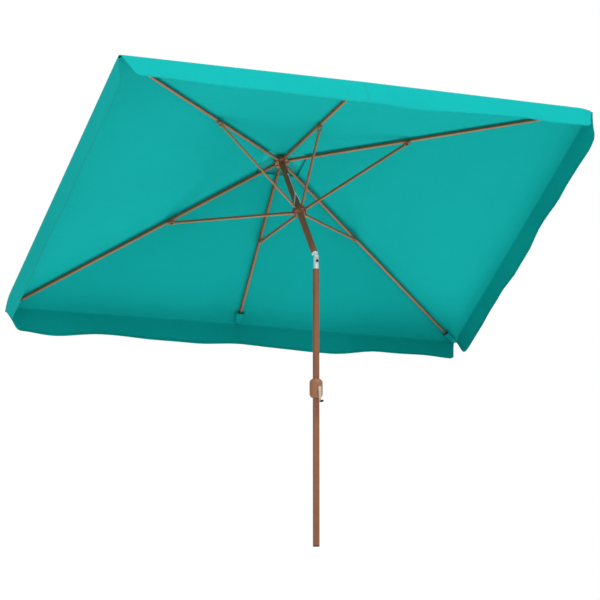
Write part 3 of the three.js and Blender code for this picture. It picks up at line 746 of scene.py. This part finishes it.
def hinge_match(spoke, other):
    """How much of its own rib's turn a half panel takes at its middle line.

    The two halves of a panel hang from ribs that turn by different angles, so the steeper rib's
    half is given less of its turn there. Neither half is given more than MIDDLE_SINK of it.
    """
    def sink(name):
        turn = math.radians(max(JOINTS["rib_hinge_" + name]["range_deg"]))
        bearing = Vector(HINGES[name].xy).normalized()
        reach = fold_middle(spoke, other).xy.dot(bearing) - HINGE_R
        return turn * max(reach, 0.01)

    return MIDDLE_SINK * min(1.0, sink(other) / sink(spoke))


def bend_with_rib(obj):
    """Bakes the piece's placement into its points.
    """
    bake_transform(obj)


PANELS = {
    ("front_left", "front_mid"): "gore_front_left",
    ("front_mid", "front_right"): "gore_front_right",
    ("front_right", "back_right"): "gore_right",
    ("back_right", "back_mid"): "gore_back_right",
    ("back_mid", "back_left"): "gore_back_left",
    ("back_left", "front_left"): "gore_left",
}
VALANCES = {
    "gore_front_left": "valance_front",
    "gore_front_right": "valance_front",
    "gore_right": "valance_right",
    "gore_back_right": "valance_back",
    "gore_back_left": "valance_back",
    "gore_left": "valance_left",
}


def is_clockwise(spoke, other):
    """True where the panel lies clockwise from the spoke, seen from above."""
    a, b = FOLD_POINTS[spoke], FOLD_POINTS[other]
    return a.x * b.y - a.y * b.x < 0


def cloth_piece(name, grid, uvs, over, under, finish):
    """A closed sheet over a grid, with the same UVs on both its faces."""
    points, faces = shell(grid, over, under)
    return piece_from(name, points, faces, FINISHES[finish], np.tile(uvs.reshape(-1, 2), (2, 1)))


def add_half(name, spoke, other, grids, finish):
    """A half panel from its grid, UVs and cloth doubling, its upper face turned up. Weights go unused."""
    if is_clockwise(spoke, other):
        grids = [values[:, ::-1] for values in grids]
    grid, uvs, doubled, weights = grids
    obj = cloth_piece(name, grid, uvs, CLOTH / 2 + DOUBLED * doubled, CLOTH / 2, finish)
    bend_with_rib(obj)
    return obj


def middle_weights(spoke, other, across):
    """The share of its rib's turn that a half panel takes, where across is 0 at its seam."""
    return 1 - (1 - hinge_match(spoke, other)) * across ** 2


def half_panels():
    """Every half panel: its CAD node, the spoke that it hangs on and its panel's other spoke."""
    for (first, second), panel in PANELS.items():
        yield panel, first, second
        yield panel, second, first


def add_canopy():
    for panel, spoke, other in half_panels():
        grid, uvs, doubled = half_panel(spoke, other)
        across = uvs[:, :, 0] / uvs[:, :, 0].max(axis=1, keepdims=True)
        weights = middle_weights(spoke, other, across)
        name = "cloth_" + panel.removeprefix("gore_") + "_at_" + spoke
        obj = add_half(name, spoke, other, (grid, uvs, doubled, weights), "canopy_fabric")
        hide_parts(panel, VALANCES[panel])


add_canopy()


# ---------------------------------------------------------------- vent cap
CAP_SHARE = 0.155  # of the way out to the fold, where the cap's rim is
CAP_START = 0.0065  # the same share at the finial
CAP_RISE = 0.041  # of its top above the rib hinges
CAP_FALL = 0.066  # from its top to its rim
CAP_DIP = 0.002  # how much higher its panels' middles are than their seams, at the rim
CAP_SLANT = 1.2  # cloth, in metres, for each whole share of the way out
CAP_HEM = 0.0095  # a share
CAP_SEAM = 0.006
CAP_ROWS = 14
CAP_COLUMNS = 9


def cap_half(spoke, other):
    """Grid, UVs, cloth doubling and weights of half a panel of the vent's raised cap."""
    start, middle = FOLD_POINTS[spoke], fold_middle(spoke, other)
    hem_start = CAP_SHARE - CAP_HEM
    shares = np.concatenate([
        np.linspace(CAP_START, hem_start - 0.0005, CAP_ROWS), [hem_start, CAP_SHARE]
    ])
    across = np.linspace(0, 1, CAP_COLUMNS)
    grid, uvs, doubled = [], [], []
    for share in shares:
        out = share / CAP_SHARE
        row, uv, double = [], [], []
        for t in across:
            plan = start.lerp(middle, t) * share
            dip = CAP_DIP * math.sin(math.pi * t / 2) ** 2 * out ** 2
            row.append((plan.x, plan.y, HUB_Z + CAP_RISE - CAP_FALL * out ** 1.15 + dip))
            distance = (middle - start).length * share * t
            uv.append((distance, -share * CAP_SLANT))
            double.append(1.0 if share >= hem_start or distance < CAP_SEAM else 0.0)
        grid.append(row)
        uvs.append(uv)
        doubled.append(double)
    held_by_rib = (shares[:, None] / CAP_SHARE) ** 1.5
    weights = middle_weights(spoke, other, across) * held_by_rib
    return np.array(grid), np.array(uvs), np.array(doubled), weights


def add_cap():
    for panel, spoke, other in half_panels():
        name = "vent_cap_" + panel.removeprefix("gore_") + "_at_" + spoke
        obj = add_half(name, spoke, other, cap_half(spoke, other), "cap_fabric_painted_light")
        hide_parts("vent_cap")


add_cap()


# ---------------------------------------------------------------- rib pockets
POCKET_END = 0.014  # short of the fold point
POCKET_OVERLAP = 0.007  # of the pocket's mouth past the tip's flange
FLANGE_R = 0.0098  # only the flange of a rib tip is farther than this from the rib's axis
CORNER_MOUTH = 0.021  # half widths
MIDDLE_MOUTH = 0.027
POCKET_TAPER = 0.30  # of the mouth's width, by the pocket's end
POCKET_BELLY = 0.0132  # below the rib's axis
POCKET_LIP = 0.0020  # what the mouth's rolled edge adds to that
POCKET_CLOTH = 0.0014
POCKET_CRUMPLE = 0.0007
POCKET_UV = (0.2, -0.3)  # where its UVs start, clear of every row of stitches
BELOW_CANOPY = 0.0022  # the pocket's roof
POCKET_ROWS = 16
POCKET_COLUMNS = 17


def rib_frame(spoke):
    """A rib's hinge, its direction out, its upward direction and where its tip's flange begins."""
    hinge = HINGES[spoke]
    points = [in_mast(v.co) for v in NODES["rib_tip_" + spoke].data.vertices]
    far = max(points, key=lambda p: (p - hinge).length)
    out = Vector((*FOLD_POINTS[spoke].xy, 0)).normalized()
    axis = far - hinge
    axis = (out * axis.dot(out) + Vector((0, 0, axis.z))).normalized()
    up = out.cross(Vector((0, 0, 1))).cross(axis).normalized()
    flange = [p - hinge for p in points if (p - hinge).cross(axis).length > FLANGE_R]
    return hinge, axis, up, min(way.dot(axis) for way in flange)


def canopy_height(point, spoke):
    """The canopy's height over a plan point near a rib, without its sag."""
    share = abs(point.y) / HALF_WIDTH
    if is_corner(spoke):
        share = max(share, abs(point.x) / HALF_LENGTH)
    height = APEX.z + (FOLD_POINTS[spoke].z - APEX.z) * share
    if is_corner(spoke):
        height -= droop(Vector((point.x, point.y, height)), spoke)
    return height


def flat_cut(grid):
    """The flat width and length of a bent strip: across its rows, and down its middle column."""
    def length(line):
        return float(np.linalg.norm(np.diff(line, axis=0), axis=1).sum())

    middle_column = grid[:, grid.shape[1] // 2]
    return float(np.mean([length(row) for row in grid])), length(middle_column)


def add_pocket(spoke):
    """The cloth pocket that holds a rib's end: a sleeve that flattens into the canopy's corner."""
    hinge, axis, up, flange = rib_frame(spoke)
    side = axis.cross(up)
    start = flange + POCKET_OVERLAP
    stop = (FOLD_POINTS[spoke] - hinge).dot(axis) - POCKET_END
    mouth = CORNER_MOUTH if is_corner(spoke) else MIDDLE_MOUTH
    grid, uvs = [], []
    for t in np.linspace(0, 1, POCKET_ROWS):
        at = start + (stop - start) * t
        half = mouth * (1 - POCKET_TAPER * t ** 2)
        lip = POCKET_LIP * max(0.0, 1 - 5 * t)
        belly = (POCKET_BELLY + lip) * (1 - 0.75 * t ** 2.5)
        row, uv = [], []
        for c in range(POCKET_COLUMNS):
            angle = math.pi * c / (POCKET_COLUMNS - 1)
            spread = math.copysign(abs(math.cos(angle)) ** 1.25, math.cos(angle))
            point = hinge + axis * at + side * (half * spread)
            roof = canopy_height(point, spoke) - BELOW_CANOPY
            point.z = roof + (point.z - belly - roof) * min(1.0, 1.35 * math.sin(angle) ** 0.9)
            crumple = POCKET_CRUMPLE * math.sin(19 * t + 5 * angle) * math.sin(angle)
            row.append(tuple(point + up * crumple))
            around = half * 2 * c / POCKET_COLUMNS
            uv.append((POCKET_UV[0] + around, POCKET_UV[1] + at - start))
        grid.append(row)
        uvs.append(uv)
    grid = np.array(grid)
    half_cloth = np.full(grid.shape[:2], POCKET_CLOTH / 2)
    name = "rib_pocket_" + spoke
    obj = cloth_piece(name, grid, np.array(uvs), half_cloth, half_cloth, "canopy_fabric")
    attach(obj, "rib_" + spoke)
    flat_cut(grid)


for spoke in SPOKES:
    add_pocket(spoke)


# ---------------------------------------------------------------- lift cord
CORD_R = 0.0024
SLOT_DEPTH = 0.113  # of the pulley's slot below the rib hinges
KNOT_TURNS = 2.5
KNOT_STEPS = 40
KNOT_ACROSS = 0.0024
KNOT_DEEP = 0.0016
KNOT_TOP = 0.0038  # above the knot's middle
KNOT_HEIGHT = 0.0080
LEG_END = 0.0365  # of the legs above the strut hinges


def cord_mesh(paths):
    """Points, faces and UVs of one mesh from (path, radius, sides) for each of its cords."""
    points, faces, uvs = [], [], []
    for path, radius, sides in paths:
        more, more_faces = tube(path, radius, sides)
        start = len(points)
        points += [tuple(p) for p in more]
        faces += [tuple(i + start for i in face) for face in more_faces]
        run = 0.0
        for k in range(len(path)):
            if k:
                run += (Vector(path[k]) - Vector(path[k - 1])).length
            uvs += [(c / sides, run) for c in range(sides)]
    return points, faces, uvs


def add_lift_cord():
    """From the pulley's slot to a knot, and in two legs from the knot to the runner's sides."""
    slot_z = HUB_Z - SLOT_DEPTH
    leg_end_z = RUNNER_Z + LEG_END
    knot = Vector((0, -0.0232, HUB_Z - 0.278))
    main = smooth_path([
        (0, -0.0203, slot_z),
        (0, -0.0216, HUB_Z - 0.157),
        (0, -0.0225, HUB_Z - 0.215),
        knot,
    ], 8)
    wrap = []
    for k in range(KNOT_STEPS + 1):
        done = k / KNOT_STEPS
        angle = 2 * math.pi * KNOT_TURNS * done
        wrap.append(knot + Vector((
            KNOT_ACROSS * math.cos(angle),
            KNOT_DEEP * math.sin(angle),
            KNOT_TOP - KNOT_HEIGHT * done,
        )))
    paths = [(main, CORD_R, 10), (wrap, CORD_R * 2 / 3, 8)]
    for sign in (-1, 1):
        leg = smooth_path([
            knot + Vector((sign * 0.001, 0, 0)),
            (sign * 0.013, -0.0190, HUB_Z - 0.322),
            (sign * 0.021, -0.0115, HUB_Z - 0.350),
            (sign * 0.0235, -0.0050, leg_end_z),
        ], 8)
        paths.append((leg, CORD_R * 0.94, 10))
    points, faces, uvs = cord_mesh(paths)
    obj = piece_from("lift_cord_braid", points, faces, FINISHES["white_cord"], uvs)
    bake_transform(obj)
    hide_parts("lift_cord")


add_lift_cord()


# ---------------------------------------------------------------- finishes on the CAD nodes
for name, node in NODES.items():
    if not node.hide_render:
        dress_cad_node(node, finish_of(name))


# ---------------------------------------------------------------- floor and light
FLOOR_HALF = 9
AMBIENT = 0.55
# Each soft light's place, the point that it faces, its size and its power in watts.
LIGHTS = {
    "key": ((0.5, -5.0, 8.0), (0, 0, 1.6), 2.5, 405),
    "fill_below": ((1.4, 1.5, -4.5), (0, 0.4, 2.1), 4.5, 205),
    "left_sky": ((-6.5, -1.0, 6.5), (0, 0.2, 2.0), 2.5, 185),
}


def add_floor():
    """A pale floor that shows only from above, as the camera looks up from below it."""
    s = Shader("floor")
    back = s.node("NewGeometry").outputs["Backfacing"]
    clear = s.node("BsdfTransparent")
    s.finish(Base_Color=rgb(240, 240, 240), Roughness=0.9)
    s.blend_surface(back, s.principled, clear)
    signs = ((-1, -1), (1, -1), (1, 1), (-1, 1))
    corners = [(x * FLOOR_HALF, y * FLOOR_HALF, 0) for x, y in signs]
    mesh = bpy.data.meshes.new("floor")
    mesh.from_pydata(corners, [], [(0, 1, 2, 3)])
    mesh.materials.append(s.material)
    floor = bpy.data.objects.new("floor", mesh)
    floor.visible_shadow = False  # the low fill light shines up through it
    bpy.context.scene.collection.objects.link(floor)


def add_area_light(name, place, target, size, power):
    data = bpy.data.lights.new(name, "AREA")
    data.size = size
    data.energy = power
    light = bpy.data.objects.new(name, data)
    light.location = place
    light.visible_camera = False
    light.rotation_euler = (Vector(target) - Vector(place)).to_track_quat("-Z", "Y").to_euler()
    bpy.context.scene.collection.objects.link(light)


def add_light():
    """White to the camera, a dimmer white light from all round, and the soft lights."""
    world = bpy.data.worlds.new("studio")
    world.use_nodes = True
    tree = world.node_tree
    background = tree.nodes["Background"]
    background.inputs["Color"].default_value = WHITE
    path = tree.nodes.new("ShaderNodeLightPath")
    strength = tree.nodes.new("ShaderNodeMapRange")
    strength.inputs["To Min"].default_value = AMBIENT
    strength.inputs["To Max"].default_value = 1.0
    tree.links.new(path.outputs["Is Camera Ray"], strength.inputs["Value"])
    tree.links.new(strength.outputs["Result"], background.inputs["Strength"])
    bpy.context.scene.world = world
    bpy.context.scene.view_settings.view_transform = "Standard"
    for name, settings in LIGHTS.items():
        add_area_light(name, *settings)


add_floor()
add_light()
